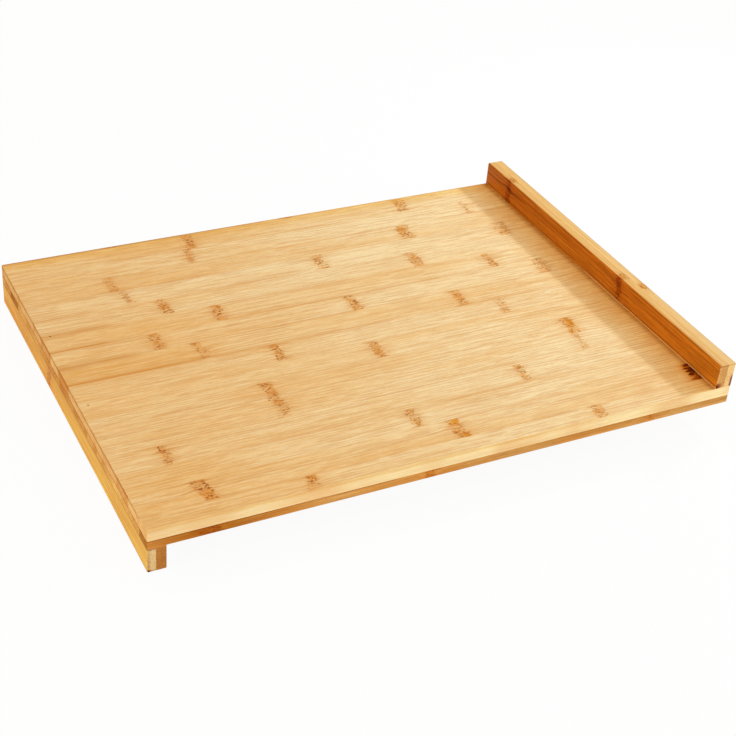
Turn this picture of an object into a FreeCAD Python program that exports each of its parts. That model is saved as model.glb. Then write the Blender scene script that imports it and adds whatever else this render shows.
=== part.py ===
import FreeCAD, Part
import os

# Bamboo worktop board. A flat panel of glued staves has a lip bar under its front end, which hooks over
# the front edge of a worktop, and a stop bar on its back end, which keeps the work from sliding off.
# X runs along the lip, Y from the lip to the stop, Z up. The origin is the inner corner of the lip at
# mid width, where the worktop's top front edge sits.

# Driving dimensions, in millimetres
board_width = 338.0         # left side to right side
board_depth = 450.0         # front face of the lip to back face of the stop
upper_ply = 8.4             # thickness of the upper layer of staves
lower_ply = 6.7             # thickness of the lower layer of staves
stave_width = 21.4          # width of a whole stave
left_rip = 2.5              # width left of the first stave after the panel is cut to size
least_stave = 1.5           # a narrower leftover is taken up by the stave beside it
lip_front_lamina = 5.9      # the lip bar is two laminae glued face to face
lip_back_lamina = 7.1
lip_drop = 19.0             # how far the lip reaches below the panel
stop_front_lamina = 7.4     # the stop bar is two laminae as well
stop_back_lamina = 6.6
stop_rise = 20.0            # how far the stop reaches above the panel
edge_ease = 0.9             # radius sanded on the outer edges
pin_shank = 1.0             # diameter of the pins that hold a bar while its glue sets
pin_head = 1.3              # diameter of a pin's head
pin_head_depth = 0.7
pin_point = 2.0             # length of the tapered point
pin_set = 0.3               # how far a head is punched below the surface
pin_cover = 4.0             # wood left beyond a pin's point
pin_clearance = 0.05        # between a pin and its hole, all round
pins_per_bar = 2
pin_start_count = 5         # whole staves between the left rip and the first pin of a bar
pin_pitch_ratio = 4.2       # pin spacing, in stave widths
tolerance = 1e-6            # for comparing places

# Places that follow from the driving dimensions
panel_thickness = lower_ply + upper_ply
lip_thickness = lip_front_lamina + lip_back_lamina
stop_thickness = stop_front_lamina + stop_back_lamina
left = -board_width / 2
right = board_width / 2
front = -lip_thickness
back = board_depth - lip_thickness
lip_bottom = -lip_drop
lip_joint = front + lip_front_lamina
stop_face = back - stop_thickness
stop_joint = stop_face + stop_front_lamina
stop_top = panel_thickness + stop_rise
pin_length = panel_thickness - pin_set + min(lip_drop, stop_rise) - pin_cover
first_pin = left + left_rip + pin_start_count * stave_width
pin_places = [first_pin + pin_pitch_ratio * stave_width * n for n in range(pins_per_bar)]


def point(x, y, z):
    return FreeCAD.Vector(x, y, z)


def block(x_span, y_span, z_span):
    """A rectangular block between pairs of X, Y and Z places."""
    spans = (x_span, y_span, z_span)
    corner = point(*[low for low, high in spans])
    return Part.makeBox(*[high - low for low, high in spans], corner)


def edges_at(shape, **place):
    """The edges of a shape whose end points all lie at the given coordinates."""
    found = []
    for edge in shape.Edges:
        ends = edge.Vertexes
        if all(abs(getattr(end, axis) - value) < tolerance for axis, value in place.items() for end in ends):
            found.append(edge)
    return found


def eased_board():
    """The glued board in one block, with its outer edges sanded round and its two inner corners sharp."""
    outline = [
        point(left, front, lip_bottom),
        point(left, 0, lip_bottom),
        point(left, 0, 0),
        point(left, back, 0),
        point(left, back, stop_top),
        point(left, stop_face, stop_top),
        point(left, stop_face, panel_thickness),
        point(left, front, panel_thickness),
    ]
    side = Part.Face(Part.makePolygon(outline + outline[:1]))
    sharp = side.extrude(point(board_width, 0, 0))
    lip_corner = edges_at(sharp, Y=0, Z=0)
    stop_foot = edges_at(sharp, Y=stop_face, Z=panel_thickness)
    outer = [edge for edge in sharp.Edges if not any(edge.isSame(inner) for inner in lip_corner + stop_foot)]
    return sharp.makeFillet(edge_ease, outer)


def stave_joints():
    """The X places of the staves' sides, from the left side of the board to the right side."""
    places = [left, left + left_rip]
    while places[-1] + stave_width < right - least_stave:
        places.append(places[-1] + stave_width)
    return places + [right]


def pin(x, y, surface, drive, extra=0.0):
    """A headed pin driven down (drive -1) or up (drive 1) from a surface, or its hole when extra is added."""
    head_top = 0.0 if extra else pin_set
    head_end = pin_set + pin_head_depth + extra
    tip = pin_set + pin_length + extra
    shank_end = tip - pin_point
    head_radius = pin_head / 2 + extra
    shank_radius = pin_shank / 2 + extra
    half = [
        (0, head_top),
        (head_radius, head_top),
        (head_radius, head_end),
        (shank_radius, head_end),
        (shank_radius, shank_end),
        (0, tip),
    ]
    corners = [point(x + radius, y, surface + drive * depth) for radius, depth in half]
    profile = Part.Face(Part.makePolygon(corners + corners[:1]))
    return profile.revolve(point(x, y, surface), point(0, 0, 1), 360)


def pin_row(y, surface, drive, extra=0.0):
    """The pins of one bar, or their holes, as a group of separate solids."""
    return Part.makeCompound([pin(x, y, surface, drive, extra) for x in pin_places])


def divided_board():
    """Each wooden piece by name, cut out of the eased board along its glue joints."""
    whole = (left, right)
    spans = {
        "lip_front_lamina": (whole, (front, lip_joint), (lip_bottom, 0)),
        "lip_back_lamina": (whole, (lip_joint, 0), (lip_bottom, 0)),
        "stop_front_lamina": (whole, (stop_face, stop_joint), (panel_thickness, stop_top)),
        "stop_back_lamina": (whole, (stop_joint, back), (panel_thickness, stop_top)),
    }
    joints = stave_joints()
    for number, stave in enumerate(zip(joints, joints[1:]), start=1):
        spans[f"lower_stave_{number:02d}"] = (stave, (front, back), (0, lower_ply))
        spans[f"upper_stave_{number:02d}"] = (stave, (front, back), (lower_ply, panel_thickness))
    board = eased_board()
    return {name: board.common(block(*span)) for name, span in spans.items()}


def drilled(piece, holes):
    """A piece with the pin holes that reach it."""
    for hole in holes.Solids:
        if piece.BoundBox.intersect(hole.BoundBox):
            piece = piece.cut(hole)
    return piece


lip_row = (front + lip_thickness / 2, panel_thickness, -1)
stop_row = (stop_face + stop_thickness / 2, 0, 1)
holes = Part.makeCompound([pin_row(*lip_row, pin_clearance), pin_row(*stop_row, pin_clearance)])
nodes = {name: drilled(piece, holes) for name, piece in divided_board().items()}
nodes["lip_pins"] = pin_row(*lip_row)
nodes["stop_pins"] = pin_row(*stop_row)

os.makedirs("parts", exist_ok=True)
for name, shape in nodes.items():
    shape.exportStep(f"parts/{name}.step")
    print(f"{name}: {len(shape.Solids)} solid(s), {shape.Volume:.1f} mm3, valid {shape.isValid()}")
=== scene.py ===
# %% [markdown]
# # A bamboo worktop board
# The board hooks over the front edge of a worktop with a lip, and a stop along its back end keeps dough
# or vegetables from sliding off. It is all bamboo: thin staves glued side by side in two layers, and two
# bars glued of two laminae each. Its solids come ready made from the frame, at their real size, so this
# lesson is about the one thing that they lack: wood that looks like bamboo on every face.

# %% Load the board
import math
import random

import bpy
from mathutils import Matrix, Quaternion, Vector


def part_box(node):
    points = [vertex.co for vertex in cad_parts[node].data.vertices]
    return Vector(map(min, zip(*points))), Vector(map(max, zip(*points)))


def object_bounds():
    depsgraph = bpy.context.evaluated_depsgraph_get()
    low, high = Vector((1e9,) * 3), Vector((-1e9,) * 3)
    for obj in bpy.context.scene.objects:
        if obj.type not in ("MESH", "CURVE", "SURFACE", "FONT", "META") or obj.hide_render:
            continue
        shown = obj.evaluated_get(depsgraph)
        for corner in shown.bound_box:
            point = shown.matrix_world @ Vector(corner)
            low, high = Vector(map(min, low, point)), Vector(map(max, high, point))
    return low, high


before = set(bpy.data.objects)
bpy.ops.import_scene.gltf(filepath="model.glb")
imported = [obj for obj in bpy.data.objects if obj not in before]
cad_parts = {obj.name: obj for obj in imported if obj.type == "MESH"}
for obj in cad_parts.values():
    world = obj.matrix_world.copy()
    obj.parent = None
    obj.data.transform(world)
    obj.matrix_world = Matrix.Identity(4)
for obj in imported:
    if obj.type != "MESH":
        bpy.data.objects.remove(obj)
cad_box = [list(corner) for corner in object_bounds()]
MM = 0.001
print(len(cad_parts), "pieces of wood and steel, box", cad_box)

# %% [markdown]
# The places that the finishes need are read from the pieces themselves, so they stay right if the board is
# made longer or wider. Grain runs from the lip to the stop in the staves, and from the left side to the
# right side in the two bars.

# %% Measure the board
left_side, lip_face, lip_bottom = cad_box[0]
right_side, stop_back, stop_top = cad_box[1]
panel_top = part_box("upper_stave_02")[1].z
upper_staves = sorted(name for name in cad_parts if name.startswith("upper_stave"))
lower_staves = sorted(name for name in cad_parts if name.startswith("lower_stave"))
print(len(upper_staves), "staves above,", len(lower_staves), "below, panel top at", round(panel_top, 4))

# %% [markdown]
# A procedural finish is a tree of nodes. A few small helpers keep the trees readable: one adds a node and
# fills its sockets with numbers or with other nodes' outputs, one does arithmetic, one turns a value into a
# mask that rises smoothly between two limits, and one makes an empty group with named sockets.

# %% Helpers for node trees
def fill(tree, socket, source):
    """Link an output to a socket, or set a plain value on it."""
    if isinstance(source, bpy.types.NodeSocket):
        tree.links.new(source, socket)
    else:
        socket.default_value = source


def add(tree, kind, sockets=None, **settings):
    """A new node, with its settings and sockets filled."""
    made = tree.nodes.new(kind)
    for name, value in settings.items():
        setattr(made, name, value)
    for name, source in (sockets or {}).items():
        fill(tree, made.inputs[name], source)
    return made


def maths(tree, operation, *values):
    """The result of one step of arithmetic."""
    made = add(tree, "ShaderNodeMath", operation=operation)
    for socket, value in zip(made.inputs, values):
        fill(tree, socket, value)
    return made.outputs[0]


def rise(tree, value, low, high, least=0.0, most=1.0):
    """A smooth mask: least where the value is at low, most where it is at high."""
    made = add(tree, "ShaderNodeMapRange", interpolation_type="SMOOTHSTEP")
    for socket, source in zip(made.inputs, (value, low, high, least, most)):
        fill(tree, socket, source)
    return made.outputs[0]


def stretched(tree, across, depth, along, per_metre, along_per_metre):
    """A place in the wood, counted in bumps of noise: many to the metre across it, few along it."""
    scaled = {
        "X": maths(tree, "MULTIPLY", across, per_metre),
        "Y": maths(tree, "MULTIPLY", depth, per_metre),
        "Z": maths(tree, "MULTIPLY", along, along_per_metre),
    }
    return add(tree, "ShaderNodeCombineXYZ", scaled).outputs[0]


def noise(tree, place, seed, detail=1.0, roughness=0.5):
    """Smooth random values around 0.5."""
    sockets = {"Vector": place, "W": seed, "Scale": 1.0, "Detail": detail, "Roughness": roughness}
    return add(tree, "ShaderNodeTexNoise", sockets, noise_dimensions="4D").outputs["Fac"]


def mix(tree, share, first, second, blend="MIX"):
    """One colour turning into another, or darkened by it."""
    made = add(tree, "ShaderNodeMix", data_type="RGBA", blend_type=blend)
    for socket, source in zip((made.inputs[0], made.inputs[6], made.inputs[7]), (share, first, second)):
        fill(tree, socket, source)
    return made.outputs[2]


def group(name, inputs, outputs):
    """An empty shader node group: its tree, its incoming values and its outgoing sockets."""
    tree = bpy.data.node_groups.new(name, "ShaderNodeTree")
    for socket in inputs:
        tree.interface.new_socket(socket, in_out="INPUT", socket_type="NodeSocketFloat")
    for socket in outputs:
        tree.interface.new_socket(socket, in_out="OUTPUT", socket_type="NodeSocketFloat")
    return tree, tree.nodes.new("NodeGroupInput").outputs, tree.nodes.new("NodeGroupOutput").inputs


print("helpers ready")

# %% [markdown]
# Bamboo has no growth rings. It is a pale ground with bundles of brown vessels, each a third of a millimetre
# thick, which run along the stem and wander in and out of a sawn face. Streaks could be painted on each
# face as a picture, but then they would not meet at the edges. Here they are a pattern in space, drawn out
# along the grain: a long face cuts the bundles into lines, and a sawn end cuts the same bundles into dots.
# Pores, hairs and lines are what a close look finds, streaks and patches are what shows from a step away.
# Each is given its bumps to the metre across and along the grain, its detail and roughness, and the two
# limits between which it rises.

# %% Fibre, shared by every piece of wood
FIBRES = {
    "Pore": (900.0, 320.0, 2.0, 0.6, 0.35, 0.7),
    "Hair": (800.0, 60.0, 2.0, 0.6, 0.3, 0.7),
    "Line": (540.0, 12.0, 2.0, 0.6, 0.55, 0.68),
    "Streak": (200.0, 5.0, 3.0, 0.55, 0.32, 0.68),
    "Patch": (40.0, 7.0, 1.0, 0.5, 0.3, 0.7),
}
VESSELS_PER_METRE = 560.0
VESSEL_WANDER = 6 * MM
VESSEL_LIMITS = (0.46, 0.16)


def fibre_group():
    names = ["Along", "Across", "Depth", "Seed"]
    tree, given, result = group("bamboo_fibre", names, [*FIBRES, "Vessel"])
    along, across, depth, seed = (given[name] for name in names)

    def drawn_out(per_metre, along_per_metre, detail, roughness=0.5):
        place = stretched(tree, across, depth, along, per_metre, along_per_metre)
        return noise(tree, place, seed, detail, roughness)

    for effect, (per_metre, along_per_metre, detail, roughness, low, high) in FIBRES.items():
        waves = drawn_out(per_metre, along_per_metre, detail, roughness)
        fill(tree, result[effect], rise(tree, waves, low, high))
    sway = maths(tree, "SUBTRACT", drawn_out(60.0, 25.0, 1.0), 0.5)
    wander = maths(tree, "MULTIPLY", sway, VESSEL_WANDER)
    cell = add(tree, "ShaderNodeCombineXYZ")
    fill(tree, cell.inputs["X"], maths(tree, "ADD", across, seed))
    fill(tree, cell.inputs["Y"], maths(tree, "ADD", depth, wander))
    sockets = {"Vector": cell.outputs[0], "Scale": VESSELS_PER_METRE}
    bundles = add(tree, "ShaderNodeTexVoronoi", sockets, voronoi_dimensions="2D")
    fill(tree, result["Vessel"], rise(tree, bundles.outputs["Distance"], *VESSEL_LIMITS))
    return tree


fibre = fibre_group()
print("group", fibre.name, [item.name for item in fibre.interface.items_tree])

# %% [markdown]
# A bamboo stem is closed by a wall at every knuckle, and there the vessels knot together. On a planed
# stave a knuckle shows as a ragged band right across the stave, five to ten millimetres long: clouds of
# reddish stain, and over them short brown dashes where a vessel is cut, with the fibres swerving beside the
# band. The group draws one band at a given place along the grain. No two look alike, so noise decides how
# the band leans, where the clouds are and where the dashes cluster. It also gives the swerve, so that the
# fibre group can be fed with a bent coordinate, and how near the knuckle is.

# %% Knuckle, shared by every piece of wood
LEAN = 14 * MM
RAGGED = 5 * MM
NEAR = 14 * MM
BAND_EDGE = 2 * MM
DASH_OUTSIDE = 2.5 * MM
DASH_INSIDE = 1 * MM
BEND = 8 * MM
BEND_REACH = 22 * MM
HALO = 0.3
FULL_DASHES = 1.3


def knuckle_group():
    names = ["Along", "Across", "Depth", "Place", "Half", "Seed", "Strength"]
    tree, given, result = group("bamboo_knuckle", names, ["Dash", "Stain", "Swerve", "Near"])
    along, across, depth, place, half, seed, strength = (given[name] for name in names)

    def times(*values):
        product = values[0]
        for value in values[1:]:
            product = maths(tree, "MULTIPLY", product, value)
        return product

    def wild(per_metre, along_per_metre, detail=1.0):
        spot = stretched(tree, across, depth, along, per_metre, along_per_metre)
        return noise(tree, spot, seed, detail)

    def wave(per_metre, along_per_metre, size):
        return times(maths(tree, "SUBTRACT", wild(per_metre, along_per_metre), 0.5), size)

    lean = wave(28.0, 0.0, LEAN)
    ragged = times(wave(500.0, 0.0, RAGGED), strength)
    offset = maths(tree, "SUBTRACT", maths(tree, "SUBTRACT", along, place), lean)
    distance = maths(tree, "ABSOLUTE", maths(tree, "SUBTRACT", offset, ragged))
    outside = maths(tree, "SUBTRACT", distance, half)
    near = rise(tree, maths(tree, "ABSOLUTE", offset), NEAR, 0.0)
    fill(tree, result["Near"], near)

    cloud = rise(tree, wild(150.0, 110.0, 2.0), 0.38, 0.62, 0.45, 1.0)
    band = times(rise(tree, outside, BAND_EDGE, -BAND_EDGE), cloud)
    fill(tree, result["Stain"], times(maths(tree, "MAXIMUM", band, times(near, HALO)), strength))

    flecks = rise(tree, wild(950.0, 520.0), 0.53, 0.6)
    cluster = rise(tree, wild(240.0, 150.0), 0.35, 0.6, 0.45, 1.0)
    reach = rise(tree, outside, DASH_OUTSIDE, -DASH_INSIDE)
    full = maths(tree, "MINIMUM", times(strength, FULL_DASHES), 1.0)
    fill(tree, result["Dash"], times(flecks, cluster, reach, full))

    bend = wave(120.0, 60.0, BEND)
    fill(tree, result["Swerve"], times(bend, rise(tree, distance, BEND_REACH, BAND_EDGE)))
    return tree


knuckle = knuckle_group()
print("group", knuckle.name, [item.name for item in knuckle.interface.items_tree])

# %% [markdown]
# Where two pieces meet, the glue and the pressed edges leave a fine amber line that is strong in places and
# all but gone in others. The line is a mask of the distance to two places, low and high, which may be the
# same. Between a start and an end along the joint it is at its full strength, with a glow beside it, and
# noise breaks it elsewhere.

# %% Seam, shared by all joints, shades and scorched edges
PIECES_PER_METRE = 22.0
WEAK_PIECES = 0.35


def seam_group():
    names = ["Run", "Way", "Low", "High", "Width", "Reach", "Start", "End", "Fade", "Seed"]
    tree, given, result = group("seam", names, ["Line", "Glow"])
    run, way, low, high, width, reach, start, end, fade, seed = (given[name] for name in names)
    before = maths(tree, "MULTIPLY", fade, -1.0)
    to_low = maths(tree, "ABSOLUTE", maths(tree, "SUBTRACT", way, low))
    to_high = maths(tree, "ABSOLUTE", maths(tree, "SUBTRACT", high, way))
    distance = maths(tree, "MINIMUM", to_low, to_high)
    begun = rise(tree, maths(tree, "SUBTRACT", run, start), before, 0.0)
    not_over = rise(tree, maths(tree, "SUBTRACT", end, run), before, 0.0)
    strong = maths(tree, "MULTIPLY", begun, not_over)
    pieces = noise(tree, stretched(tree, seed, 0.0, run, 1.0, PIECES_PER_METRE), seed)
    strength = maths(tree, "MAXIMUM", strong, rise(tree, pieces, 0.4, 0.65, 0.0, WEAK_PIECES))
    fill(tree, result["Line"], maths(tree, "MULTIPLY", rise(tree, distance, width, 0.0), strength))
    fill(tree, result["Glow"], maths(tree, "MULTIPLY", rise(tree, distance, reach, 0.0), strong))
    return tree


seam_tree = seam_group()
print("group", seam_tree.name, [item.name for item in seam_tree.interface.items_tree])

# %% [markdown]
# Colours are written as they look on a screen, from 0 to 255, and turned into the linear values that the
# shader counts in. A wood is seven colours: the pale and the amber end of its ground, its fibre lines, the
# pale and the amber end of its sawn ends, and two filters, the stain and the dashes of its knuckles. A filter
# multiplies the colour under it, as a dye does, so the fibres still show through.

# %% Woods
def paint(red, green, blue):
    """A screen colour as the shader's linear colour."""
    def linear(value):
        value = value / 255
        return value / 12.92 if value <= 0.04045 else ((value + 0.055) / 1.055) ** 2.4
    return (linear(red), linear(green), linear(blue), 1.0)


def wood(*colours):
    names = ("pale", "amber", "line", "end_pale", "end_amber", "stain", "dash")
    return {name: paint(*colour) for name, colour in zip(names, colours)}


AMBER_STAIN = ((236, 182, 74), (184, 142, 92))
RED_STAIN = ((212, 172, 120), (188, 148, 116))
HONEY = wood((249, 228, 179), (236, 184, 107), (204, 140, 66),
             (255, 218, 146), (220, 150, 70), *AMBER_STAIN)
OAT = wood((240, 196, 120), (216, 154, 72), (176, 112, 40),
           (255, 206, 117), (206, 134, 54), *AMBER_STAIN)
CARAMEL = wood((232, 184, 112), (194, 134, 62), (156, 96, 34),
               (222, 160, 64), (170, 102, 22), *AMBER_STAIN)
GLUE = paint(210, 126, 0)
SCORCH = paint(104, 42, 2)
print("woods ready")

# %% [markdown]
# One function makes the finish of any piece. It bends the grain at the knuckles, runs the fibre group, and
# lays the effects over each other from the ground up: ground, fibre lines, sawn ends, vessels, stain,
# dashes, seams. The oil is thin, so the gloss is weak and a little stronger on the smooth ground than on a
# sawn end, and vessels and dashes are fine scratches for the bump. Shades and burns are drawn with the seam
# group as well. A seam that has no end on the board is given one a metre outside it.

# %% One bamboo finish
STAVE_AXES = ("Y", "X", "Z")
BAR_AXES = ("X", "Z", "Y")
BUTT_LENGTH = 360 * MM
USUAL_BUTT = 0.35
GROUND_SHARES = {"Streak": 0.13, "Hair": 0.29, "Patch": 0.34}
MIDDLE_TONE = 0.5
LINE_SHARE = 0.28
LINE_NEAR_KNUCKLE = 0.3
FINE_LINE_SHARES = {"Hair": 0.12, "Pore": 0.16}
END_CONTRAST = 1.5
END_PALER = 0.14
VESSEL_SHARE = 0.32
SCORCH_SHARE = 0.5
SCORCH_HAIR = 0.9
SCORCH_LIMITS = (1.0, 2.0)
ROUGH = 0.48
ROUGH_STREAK = 0.08
ROUGH_SAWN = 0.2
GLOSS = 0.06
GROOVE_STRENGTH = 0.12
GROOVE_DEPTH = 0.2 * MM
FACING = (0.5, 0.9)
FACING_RIGHT = (0.3, 0.8)
SEED_STEP = 0.31
GLOW_REACH = 6 * MM
OUTSIDE = 1.0


def placed(tree, node_group, **sockets):
    """A shared group, put into a finish with its own values."""
    made = add(tree, "ShaderNodeGroup", node_tree=node_group)
    for name, source in sockets.items():
        fill(tree, made.inputs[name], source)
    return made.outputs


def bamboo(node, axes, timber, tone, seed, knuckles, seams=(), skin=None, butt=USUAL_BUTT, end_tone=0.0,
           stretch=1.0):
    """A finish for one piece. Axes name the ways along, across and through it. Tone runs from 0, pale, to
    1, amber, butt is how much more amber the stem's thick end is, and end_tone the sawn ends. Knuckles are
    places along the piece and lengths, in millimetres, and strengths. A skin is a face with its own wood.
    Stretch draws the fibres out longer."""
    material = bpy.data.materials.new(f"{node}_bamboo")
    material.use_nodes = True
    tree = material.node_tree
    shader = tree.nodes["Principled BSDF"]
    surface = add(tree, "ShaderNodeTexCoord").outputs
    place = add(tree, "ShaderNodeSeparateXYZ", {"Vector": surface["Object"]}).outputs
    normal = add(tree, "ShaderNodeSeparateXYZ", {"Vector": surface["Normal"]}).outputs
    start = getattr(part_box(node)[0], axes[0].lower())
    along = maths(tree, "SUBTRACT", place[axes[0]], start)
    across = place[axes[1]]
    depth = place[axes[2]]
    sawn = rise(tree, maths(tree, "ABSOLUTE", normal[axes[0]]), *FACING)
    faces = {"all": 1.0, "ends": sawn, "top": rise(tree, normal["Z"], *FACING),
             "right": rise(tree, normal["X"], *FACING_RIGHT)}

    dash, stain, near, bent = 0.0, 0.0, 0.0, across
    for number, (distance, length, strength) in enumerate(knuckles):
        band = placed(tree, knuckle, Along=along, Across=across, Depth=depth, Place=distance * MM,
                      Half=length / 2 * MM, Seed=seed + SEED_STEP * number, Strength=strength)
        dash = maths(tree, "MAXIMUM", dash, band["Dash"])
        stain = maths(tree, "MAXIMUM", stain, band["Stain"])
        near = maths(tree, "MAXIMUM", near, band["Near"])
        bent = maths(tree, "ADD", bent, band["Swerve"])

    drawn = maths(tree, "DIVIDE", along, stretch)
    grain = placed(tree, fibre, Along=drawn, Across=bent, Depth=depth, Seed=seed)
    shift = rise(tree, along, BUTT_LENGTH, 0.0, tone - MIDDLE_TONE, tone - MIDDLE_TONE + butt)
    for effect, share in GROUND_SHARES.items():
        shift = maths(tree, "MULTIPLY_ADD", grain[effect], share, shift)
    if skin:
        below = maths(tree, "ABSOLUTE", maths(tree, "SUBTRACT", place[skin["way"]], skin["face"]))
        core = rise(tree, below, *skin["depth"])
        timber = {name: mix(tree, core, skin["timber"][name], timber[name]) for name in timber}
        if skin["clean"]:
            stain = maths(tree, "MULTIPLY", stain, core)
            dash = maths(tree, "MULTIPLY", dash, core)
    colour = mix(tree, shift, timber["pale"], timber["amber"])
    line_share = maths(tree, "MULTIPLY_ADD", near, LINE_NEAR_KNUCKLE, LINE_SHARE)
    line = maths(tree, "MULTIPLY", grain["Line"], line_share)
    for effect, share in FINE_LINE_SHARES.items():
        line = maths(tree, "MULTIPLY_ADD", grain[effect], share, line)
    colour = mix(tree, line, colour, timber["line"])
    beside = maths(tree, "SUBTRACT", shift, tone)
    end_shift = maths(tree, "MULTIPLY_ADD", beside, END_CONTRAST, tone + end_tone - END_PALER)
    colour = mix(tree, sawn, colour, mix(tree, end_shift, timber["end_pale"], timber["end_amber"]))
    colour = mix(tree, maths(tree, "MULTIPLY", grain["Vessel"], VESSEL_SHARE), colour, timber["line"])
    colour = mix(tree, stain, colour, timber["stain"], "MULTIPLY")
    colour = mix(tree, dash, colour, timber["dash"], "MULTIPLY")
    hairy = maths(tree, "MULTIPLY_ADD", grain["Hair"], SCORCH_HAIR, SCORCH_SHARE)
    streaky = maths(tree, "MULTIPLY", stain, hairy)
    colour = mix(tree, rise(tree, streaky, *SCORCH_LIMITS), colour, SCORCH)
    for mark in seams:
        joint = placed(tree, seam_tree, Run=place[mark["run"]], Way=place[mark["way"]], Low=mark["low"],
                       High=mark["high"], Width=mark["width"], Reach=GLOW_REACH, Start=mark["start"],
                       End=mark["end"], Fade=mark["fade"], Seed=seed)
        tints = {"Glow": (mark["glow"], timber["line"]), "Line": (mark["line"], mark["colour"])}
        for effect, (share, tint) in tints.items():
            shown = maths(tree, "MULTIPLY", joint[effect], faces[mark["faces"]])
            colour = mix(tree, maths(tree, "MULTIPLY", shown, share), colour, tint, mark["blend"])
    fill(tree, shader.inputs["Base Color"], colour)

    rough = maths(tree, "MULTIPLY_ADD", grain["Streak"], ROUGH_STREAK, ROUGH)
    fill(tree, shader.inputs["Roughness"], maths(tree, "MULTIPLY_ADD", sawn, ROUGH_SAWN, rough))
    shader.inputs["Specular IOR Level"].default_value = GLOSS
    groove = maths(tree, "MAXIMUM", dash, grain["Vessel"])
    sockets = {"Strength": GROOVE_STRENGTH, "Distance": GROOVE_DEPTH, "Height": groove}
    bump = add(tree, "ShaderNodeBump", sockets, invert=True)
    fill(tree, shader.inputs["Normal"], bump.outputs["Normal"])
    return material


def seam(run, way, places, width, line, colour, span=(-OUTSIDE, OUTSIDE), glow=0.0, faces="all",
         fade=25 * MM, blend="MIX"):
    """A line that runs one way and lies at one or two places of another way. Line and glow are how strong
    they show, span is where the line is unbroken, fade how far it takes to end, and blend how it covers
    the wood."""
    return {"run": run, "way": way, "low": places[0], "high": places[-1], "width": width, "line": line,
            "colour": colour, "start": span[0], "end": span[1], "glow": glow, "faces": faces, "fade": fade,
            "blend": blend}


def shade(run, way, places, width, colour, **more):
    """A seam at full strength that multiplies the colour under it: painted shade, burns and stains."""
    return seam(run, way, places, width, 1.0, colour, blend="MULTIPLY", **more)


def dress(node, material):
    """Give a piece of the frame its finish."""
    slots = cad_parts[node].data.materials
    slots.clear()
    slots.append(material)


print("finish ready")

# %% [markdown]
# The upper staves are what a cook looks at, so each gets its own tone and its own knuckles, measured from
# the lip's front face in millimetres. Neighbours come from other stems, so the knuckles of two staves
# hardly ever line up. Some are faint and some are strong, and near the stop one is almost black. A few glue
# lines have drunk more oil: each is given a start and an end, and the strength of its line and of its glow.
# A joint that drank none has its strong part off the board. The cutter that rounded the front edge scorched
# a thin line under it. Shade is painted on the panel along the foot of the stop, and on the sawn ends at the
# back, to keep the lamp behind the stop from washing them out. The panel is amber along its left side. The
# right side of the last stave is a clean cut through pale wood, painted paler still as a painted highlight
# of the side that faces the lamp by the camera, and a little darker along its upper edge.

# %% Upper staves
FAINT = 0.45
PLAIN = 0.72
STRONG = 1.1
DARK = 3.0
UPPER_KNUCKLES = {
    1: ((84, 12, STRONG), (240, 12, STRONG)),
    2: ((148, 8, PLAIN), (342, 10, PLAIN)),
    3: ((142, 6, PLAIN), (394, 5, FAINT)),
    4: ((71, 7, FAINT), (328, 10, PLAIN)),
    5: ((75, 6, FAINT), (237, 8, PLAIN), (406, 11, FAINT)),
    6: ((98, 8, PLAIN), (312, 9, PLAIN)),
    7: ((134, 7, STRONG), (372, 6, PLAIN)),
    8: ((75, 8, PLAIN), (235, 8, PLAIN), (406, 10, FAINT)),
    9: ((100, 7, FAINT), (316, 8, PLAIN)),
    10: ((154, 7, PLAIN), (344, 7, FAINT)),
    11: ((224, 7, PLAIN),),
    12: ((129, 8, PLAIN), (380, 9, STRONG)),
    13: ((128, 8, PLAIN), (375, 6, FAINT)),
    14: ((35, 6, PLAIN), (310, 6, PLAIN)),
    15: ((210, 7, PLAIN),),
    16: ((47, 10, PLAIN), (232, 10, STRONG), (434, 10, DARK)),
    17: ((116, 8, PLAIN), (339, 9, PLAIN)),
}
UPPER_TONES = {2: 0.36, 3: 0.24, 4: 0.44, 5: 0.26, 6: 0.23, 7: 0.4, 9: 0.51, 10: 0.36, 11: 0.36,
               12: 0.28, 13: 0.24, 16: 0.42}
USUAL_TONE = 0.32
END_TONES = {6: 0.25, 7: 0.35, 8: -0.25, 9: 0.6, 11: -0.2, 13: 0.1, 14: 0.15, 15: 0.1, 16: -0.3,
             17: -0.25}
STRONG_GLUE = {
    2: [(96, 140, 0.4, 0.1), (215, 270, 0.35, 0.1)],
    4: [(0, 40, 0.3, 0.1), (113, 150, 0.4, 0.1)],
    5: [(0, 30, 0.4, 0.2), (150, 200, 0.3, 0.1)],
    6: [(0, 40, 0.5, 0.45), (150, 240, 0.45, 0.15)],
    7: [(0, 34, 1.0, 0.3), (150, 320, 0.35, 0.1)],
    8: [(0, 45, 0.4, 0.45), (150, 220, 0.4, 0.1)],
    9: [(0, 75, 1.0, 0.3), (100, 230, 0.35, 0.15), (315, 370, 0.5, 0.15)],
    14: [(90, 160, 0.35, 0.1), (250, 315, 0.5, 0.1)],
    15: [(250, 320, 0.5, 0.1)],
}
NO_GLUE = [(-1000, -1000, 1.0, 0.0)]
GLUE_WIDTH = 0.9 * MM
GLUE_SHARE = 0.9
UPPER_SEED_STEP = 3.7
STRENGTH_SPREAD = (0.9, 1.1)
# A paler wood for the right side of the last stave: pale wood, and a painted highlight of the side that faces
# the lamp by the camera.
CREAM_AND_HIGHLIGHT = wood((251, 232, 178), (220, 196, 148), (230, 192, 132),
             (242, 206, 140), (226, 180, 112), *AMBER_STAIN)
stop_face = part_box("stop_front_lamina")[0].y
picks = random.Random(4)


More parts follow.
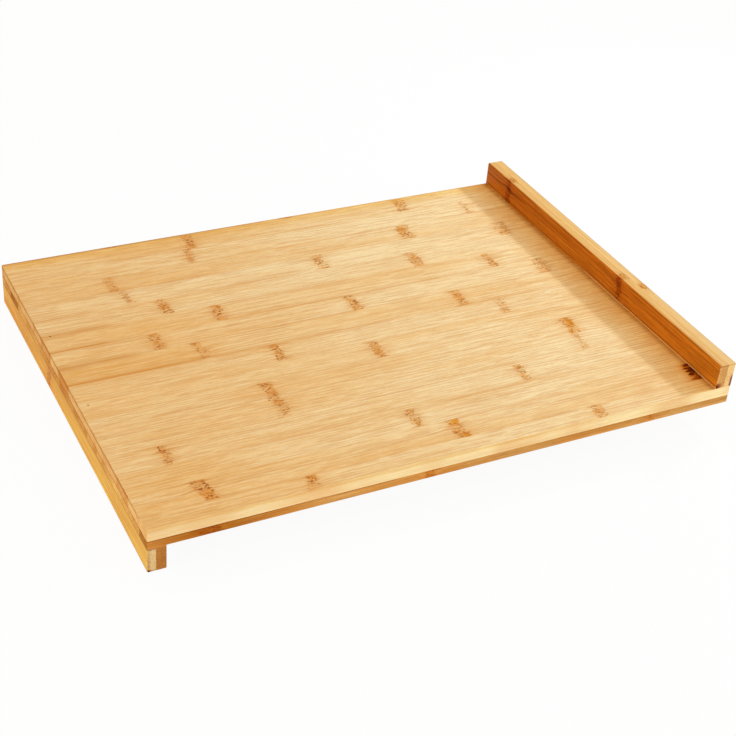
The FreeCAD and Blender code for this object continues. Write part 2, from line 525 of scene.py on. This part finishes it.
def side_seams(node, number):
    """The glue lines along a stave's two sides, strong where the joint drank oil."""
    low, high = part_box(node)
    seams = []
    for x, joint in ((low.x, number - 1), (high.x, number)):
        for start, end, line, glow in STRONG_GLUE.get(joint, NO_GLUE):
            span = (lip_face + start * MM, lip_face + end * MM)
            seams.append(seam("Y", "X", (x,), GLUE_WIDTH, GLUE_SHARE * line, GLUE, span, glow))
    return seams


scorched_edge = seam("X", "Z", (panel_top - 1.3 * MM,), 1.5 * MM, 0.7, paint(172, 124, 66),
                     (left_side, right_side - 30 * MM), faces="ends", blend="MULTIPLY")
# Painted shade on the panel in front of the stop: a broad warm one, and a deep one at the stop's foot.
shaded_foot = shade("X", "Y", (stop_face,), 44 * MM, paint(254, 230, 180), faces="top")
painted_foot_shade = shade("X", "Y", (stop_face,), 7 * MM, paint(213, 191, 144), faces="top")
# Painted shade on the sawn ends at the back, to keep the lamp behind the stop from washing them out.
painted_back_shade = shade("X", "Y", (stop_back,), 9 * MM, paint(200, 196, 190), faces="ends")
amber_edge = shade("Y", "X", (left_side,), 18 * MM, paint(255, 246, 207), faces="top")
far_edge = seam("Y", "X", (left_side,), 2.4 * MM, 0.9, paint(150, 84, 14), (-OUTSIDE, 0.05), glow=0.5,
                faces="top", fade=300 * MM)
eased_edge = shade("Y", "Z", (panel_top,), 3 * MM, paint(244, 233, 203), span=(-OUTSIDE, 0.25),
                   faces="right", fade=100 * MM)
top_seams = [scorched_edge, shaded_foot, painted_foot_shade, amber_edge, far_edge, painted_back_shade]
# The right side of the last stave, clean of stains, in the paler wood with its painted highlight.
clean_highlit_side = {"way": "X", "face": right_side, "timber": CREAM_AND_HIGHLIGHT, "clean": True,
              "depth": (0.1 * MM, 0.7 * MM)}

for number, node in enumerate(upper_staves, start=1):
    knuckles = []
    for place, length, strength in UPPER_KNUCKLES[number]:
        knuckles.append((place, length, strength * picks.uniform(*STRENGTH_SPREAD)))
    seams = side_seams(node, number) + top_seams
    skin = None
    if node == upper_staves[-1]:
        skin = clean_highlit_side
        seams.append(eased_edge)
    tone = UPPER_TONES.get(number, USUAL_TONE)
    finish = bamboo(node, STAVE_AXES, HONEY, tone, number * UPPER_SEED_STEP, knuckles, seams, skin,
                    end_tone=END_TONES.get(number, 0.0))
    dress(node, finish)
print(len(upper_staves), "upper staves finished")

# %% [markdown]
# The lower staves carry the upper ones and are picked with less care, so they are browner and more mixed:
# the sawn ends of a few caramel ones show on the front, and one of them runs along the right side. A stave
# turns caramel all the way through when its stem is steamed. The joint under the upper layer is a long
# brown line on every side of the board. Near the lip the right side is scorched around a knuckle, and
# towards the stop it is shaded under that joint.

# %% Lower staves
CARAMEL_STAVES = (3, 17)
LOWER_TONES = {2: 0.5, 3: 0.65, 7: 0.6, 9: 0.6, 10: 0.75, 11: 0.6, 14: 0.1, 15: 0.18, 16: 0.35,
               17: 0.46}
RIGHT_SIDE_KNUCKLES = ((41, 14, 0.62), (200, 7, 0.9), (379, 7, 0.9))
RIGHT_SIDE_BUTT = 0.05
RIGHT_SIDE_END = 0.3
KNUCKLE_STEP = (150, 190)
FIRST_KNUCKLE = 20
UNSEEN_LENGTHS = (6, 10)
UNSEEN_STRENGTHS = (0.75, 1.0)
UNSEEN_TONES = (0.3, 0.45)
LOWER_SEED = 90
LOWER_SEED_STEP = 2.9
ply_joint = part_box("lower_stave_02")[1].z
ply_seam = seam("Y", "Z", (ply_joint,), 1.4 * MM, 0.75, paint(150, 80, 14), (-OUTSIDE, 0.15))
burnt_patch = shade("Z", "Y", (lip_face + 40 * MM, lip_face + 45 * MM), 70 * MM, paint(208, 175, 92))
shaded_ply = shade("Y", "Z", (ply_joint - 1.5 * MM,), 4 * MM, paint(230, 220, 199),
                   span=(0.3, OUTSIDE), faces="right", fade=150 * MM)


def stem_knuckles(length):
    """Knuckles of an unseen stave: a random first one, then one about every stem joint."""
    places = [picks.uniform(FIRST_KNUCKLE, KNUCKLE_STEP[1])]
    while places[-1] + KNUCKLE_STEP[0] < length:
        places.append(places[-1] + picks.uniform(*KNUCKLE_STEP))
    return [(place, picks.uniform(*UNSEEN_LENGTHS), picks.uniform(*UNSEEN_STRENGTHS)) for place in places]


board_length = (stop_back - lip_face) / MM
for number, node in enumerate(lower_staves, start=1):
    knuckles = stem_knuckles(board_length)
    tone = LOWER_TONES.get(number, picks.uniform(*UNSEEN_TONES))
    timber = CARAMEL if number in CARAMEL_STAVES else OAT
    butt = USUAL_BUTT
    end_tone = 0.0
    seams = side_seams(node, -1) + [ply_seam, painted_back_shade]
    if node == lower_staves[-1]:
        knuckles = RIGHT_SIDE_KNUCKLES
        butt = RIGHT_SIDE_BUTT
        end_tone = RIGHT_SIDE_END
        seams += [burnt_patch, shaded_ply]
    seed = LOWER_SEED + number * LOWER_SEED_STEP
    finish = bamboo(node, STAVE_AXES, timber, tone, seed, knuckles, seams, butt=butt, end_tone=end_tone)
    dress(node, finish)
print(len(lower_staves), "lower staves finished")

# %% [markdown]
# Each bar is two laminae, glued face to face and picked without matching their colours, which shows at the
# ends: a pale lamina beside a brown one. Their grain runs along the bar. The front lamina of each bar has
# the skin side of the stem outside, where the fibre is dense and orange, and a pale core behind it. On the
# stop that skin is deeper orange-brown, partly the stem's skin and partly painted shade of a face that
# is turned away from the lamp. The back face of the stop is a darker copy of its straw wood, painted
# shade that keeps the lamp behind the stop from washing it out. A bead of pale glue runs along the stop's
# foot, and the saw burnt three corners of the ends. A burn is a filter, and two of them are laid twice,
# which makes the core dark and leaves the rim light. Each bar is given its wood, the wood of its skin,
# its tone, how amber its butt end is, its seed, its knuckles and its seams.

# %% Lip and stop
GOLD = wood((255, 213, 98), (230, 134, 4), (186, 94, 6),
            (214, 188, 134), (168, 134, 78), *AMBER_STAIN)
# The stop's front skin: the stem's orange skin, darkened further as painted shade of a face turned away from
# the lamp.
SHADED_RUST = wood((224, 134, 30), (172, 79, 8), (70, 12, 0),
            (226, 172, 104), (198, 136, 68), *RED_STAIN)
WHEAT = wood((236, 196, 126), (218, 162, 84), (188, 126, 56),
             (210, 160, 96), (160, 102, 44), *AMBER_STAIN)
STRAW = wood((238, 204, 140), (226, 178, 102), (198, 140, 70),
             (240, 204, 138), (200, 148, 82), *AMBER_STAIN)
UMBER = wood((206, 146, 78), (168, 102, 40), (136, 74, 22),
             (178, 120, 56), (138, 80, 30), *AMBER_STAIN)
# A darker copy of the straw wood for the stop's back face: painted shade against the lamp behind it.
SHADED_STRAW = wood((206, 172, 118), (188, 144, 84), (158, 110, 56),
            (240, 204, 138), (200, 148, 82), *AMBER_STAIN)
BURN = paint(150, 56, 20)
BAR_KNUCKLE = 7
BAR_KNUCKLE_STRENGTH = 0.9
BAR_STRETCH = 2.5
BAR_SKIN = (0.5 * MM, 1.6 * MM)
lip_top = seam("X", "Z", (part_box("lip_front_lamina")[1].z,), 1.7 * MM, 0.65, SCORCH)
glue_bead = seam("X", "Z", (panel_top + 0.3 * MM,), 1.0 * MM, 0.75, paint(240, 190, 120),
                 (left_side + 0.17, right_side))
saw_line = seam("Y", "Z", (stop_top - 0.9 * MM,), 0.6 * MM, 0.5, SCORCH, faces="ends")
front_burn = shade("Z", "Y", (stop_face,), 7 * MM, BURN, span=(-OUTSIDE, panel_top + 2 * MM), glow=0.6,
                   faces="ends", fade=4 * MM)
back_burn = shade("Z", "Y", (stop_back,), 3.4 * MM, BURN, span=(-OUTSIDE, panel_top + 6 * MM), glow=0.1,
                  faces="ends", fade=6 * MM)
lip_burn = shade("Z", "Y", (lip_face,), 3 * MM, BURN, span=(-OUTSIDE, lip_bottom + 1 * MM), glow=0.4,
                 faces="ends", fade=2 * MM)
BARS = {
    "lip_front_lamina": (GOLD, GOLD, 0.22, 0.42, 11.0, (125,), [lip_top, lip_burn, lip_burn]),
    "lip_back_lamina": (UMBER, None, 0.36, 0.25, 23.0, (80, 250), []),
    "stop_front_lamina": (WHEAT, SHADED_RUST, 0.36, 0.28, 37.0, (36, 208), [glue_bead, saw_line, front_burn]),
    "stop_back_lamina": (STRAW, SHADED_STRAW, 0.34, 0.3, 41.0, (224,), [saw_line, back_burn, back_burn]),
}
for node, (timber, skin_timber, tone, butt, seed, places, seams) in BARS.items():
    low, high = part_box(node)
    face = high.y if "back" in node else low.y
    skin = None
    if skin_timber:
        skin = {"way": "Y", "face": face, "timber": skin_timber, "clean": False, "depth": BAR_SKIN}
    knuckles = [(place, BAR_KNUCKLE, BAR_KNUCKLE_STRENGTH) for place in places]
    edges = seam("Z", "Y", (low.y, high.y), 0.7 * MM, 0.5, SCORCH, (-OUTSIDE, -OUTSIDE), faces="ends")
    finish = bamboo(node, BAR_AXES, timber, tone, seed, knuckles, [edges] + seams, skin, butt,
                    stretch=BAR_STRETCH)
    dress(node, finish)
print(len(BARS), "laminae finished")

# %% [markdown]
# The pins are plain steel wire nails with their heads punched just under the surface. Only the heads show,
# dull and brown with oil, so the metal is rough and spotted with noise.

# %% Pins
STEEL = paint(84, 58, 20)
RUSTY = paint(64, 38, 12)
SPOTS_PER_METRE = 1500.0


def dull_steel():
    material = bpy.data.materials.new("dull_steel")
    material.use_nodes = True
    tree = material.node_tree
    shader = tree.nodes["Principled BSDF"]
    shader.inputs["Metallic"].default_value = 1.0
    place = add(tree, "ShaderNodeTexCoord").outputs["Object"]
    sockets = {"Vector": place, "Scale": SPOTS_PER_METRE, "Detail": 3.0}
    spots = add(tree, "ShaderNodeTexNoise", sockets).outputs["Fac"]
    rust = rise(tree, spots, 0.4, 0.65)
    fill(tree, shader.inputs["Base Color"], mix(tree, rust, STEEL, RUSTY))
    fill(tree, shader.inputs["Roughness"], rise(tree, spots, 0.3, 0.7, 0.45, 0.75))
    return material


steel = dull_steel()
for node in ("lip_pins", "stop_pins"):
    dress(node, steel)
print("pins finished")

# %% [markdown]
# The stage is a plain pale floor under the lip. White card would grey in its own shadow, so what the camera
# sees of it is mostly white, mixed with the shaded card, which keeps a soft shadow under the board. From
# below the card is clear, so that the underside of the board can be looked at too.

# %% Floor and white surroundings
def seen_directly(tree):
    """1 for rays from the camera and for mirrored or refracted ones, 0 for the rays that light things."""
    path = add(tree, "ShaderNodeLightPath").outputs
    mirrored = maths(tree, "MAXIMUM", path["Is Glossy Ray"], path["Is Transmission Ray"])
    return maths(tree, "MAXIMUM", path["Is Camera Ray"], mirrored)


FLOOR_SIZE = 8.0
WHITE_SHARE = 0.94
CARD = (0.92, 0.94, 0.97, 1.0)
WHITE = (1.0, 1.0, 1.0, 1.0)
floor_mesh = bpy.data.meshes.new("floor")
half = FLOOR_SIZE / 2
corners = [(-half, -half), (half, -half), (half, half), (-half, half)]
floor_mesh.from_pydata([(x, y, lip_bottom) for x, y in corners], [], [(0, 1, 2, 3)])
floor = bpy.data.objects.new("floor", floor_mesh)
bpy.context.scene.collection.objects.link(floor)

card = bpy.data.materials.new("white_card")
card.use_nodes = True
card_tree = card.node_tree
card_tree.nodes.clear()
shaded = add(card_tree, "ShaderNodeBsdfDiffuse", {"Color": CARD})
bright = add(card_tree, "ShaderNodeEmission", {"Color": WHITE, "Strength": 1.0})
share = maths(card_tree, "MULTIPLY", seen_directly(card_tree), WHITE_SHARE)
blend = add(card_tree, "ShaderNodeMixShader", {"Fac": share})
card_tree.links.new(shaded.outputs[0], blend.inputs[1])
card_tree.links.new(bright.outputs[0], blend.inputs[2])
from_below = add(card_tree, "ShaderNodeNewGeometry").outputs["Backfacing"]
below = add(card_tree, "ShaderNodeMixShader", {"Fac": from_below})
card_tree.links.new(blend.outputs[0], below.inputs[1])
card_tree.links.new(add(card_tree, "ShaderNodeBsdfTransparent").outputs[0], below.inputs[2])
add(card_tree, "ShaderNodeOutputMaterial", {"Surface": below.outputs[0]})
floor_mesh.materials.append(card)
print("floor at", round(lip_bottom, 4))

# %% [markdown]
# The light is that of a white studio: an even glow from all round, a soft lamp behind the stop, which draws
# the stop's short shadow on the panel, and a large weak lamp by the camera for the side and the lip.

# %% Light
WORLD_LIGHT = 0.85
WORLD_COLOUR = (1.0, 0.92, 0.83, 1.0)
world = bpy.data.worlds.new("studio")
bpy.context.scene.world = world
world.use_nodes = True
sky = world.node_tree
sky.nodes.clear()
glow = add(sky, "ShaderNodeBackground", {"Color": WORLD_COLOUR, "Strength": WORLD_LIGHT})
backdrop = add(sky, "ShaderNodeBackground", {"Color": WHITE, "Strength": 1.0})
choice = add(sky, "ShaderNodeMixShader", {"Fac": seen_directly(sky)})
sky.links.new(glow.outputs[0], choice.inputs[1])
sky.links.new(backdrop.outputs[0], choice.inputs[2])
add(sky, "ShaderNodeOutputWorld", {"Surface": choice.outputs[0]})


def lamp(name, place, target, size, power, colour):
    """A soft square lamp that faces a point."""
    data = bpy.data.lights.new(name, "AREA")
    data.color = colour
    data.size = size
    data.energy = power
    made = bpy.data.objects.new(name, data)
    bpy.context.scene.collection.objects.link(made)
    made.location = place
    made.rotation_euler = (Vector(target) - Vector(place)).to_track_quat("-Z", "Y").to_euler()
    return made


stop_middle = Vector((0.0, stop_back, panel_top))
BEHIND_STOP = Vector((-0.09, 0.46, 0.34))
lamp("back_lamp", stop_middle + BEHIND_STOP, stop_middle, size=0.045, power=2.1, colour=(0.69, 0.84, 1.0))
lamp("side_lamp", (1.5, -0.5, 0.3), (0.0, 0.2, 0.0), size=1.0, power=9.0, colour=(1.0, 0.97, 0.93))

# %% [markdown]
# The camera stands well above the board: to the right of the lip, looking down and across to the
# far end of the stop, with the frame turned a few degrees.

# %% Camera
CAMERA_PLACE = Vector((0.8384, -0.2420, 0.6281))
CAMERA_TARGET = Vector((0.0566, 0.1943, 0.0151))
CAMERA_ROLL = math.radians(5.17)
LENS = 73.3
SENSOR = 36.0
camera_data = bpy.data.cameras.new("camera")
camera_data.lens = LENS
camera_data.sensor_width = SENSOR
camera = bpy.data.objects.new("camera", camera_data)
bpy.context.scene.collection.objects.link(camera)
aim = (CAMERA_TARGET - CAMERA_PLACE).to_track_quat("-Z", "Y")
camera.rotation_mode = "QUATERNION"
camera.rotation_quaternion = aim @ Quaternion((0.0, 0.0, 1.0), CAMERA_ROLL)
camera.location = CAMERA_PLACE
bpy.context.scene.camera = camera
bpy.context.scene.view_settings.view_transform = "Standard"
print("camera at", tuple(round(x, 3) for x in camera.location))
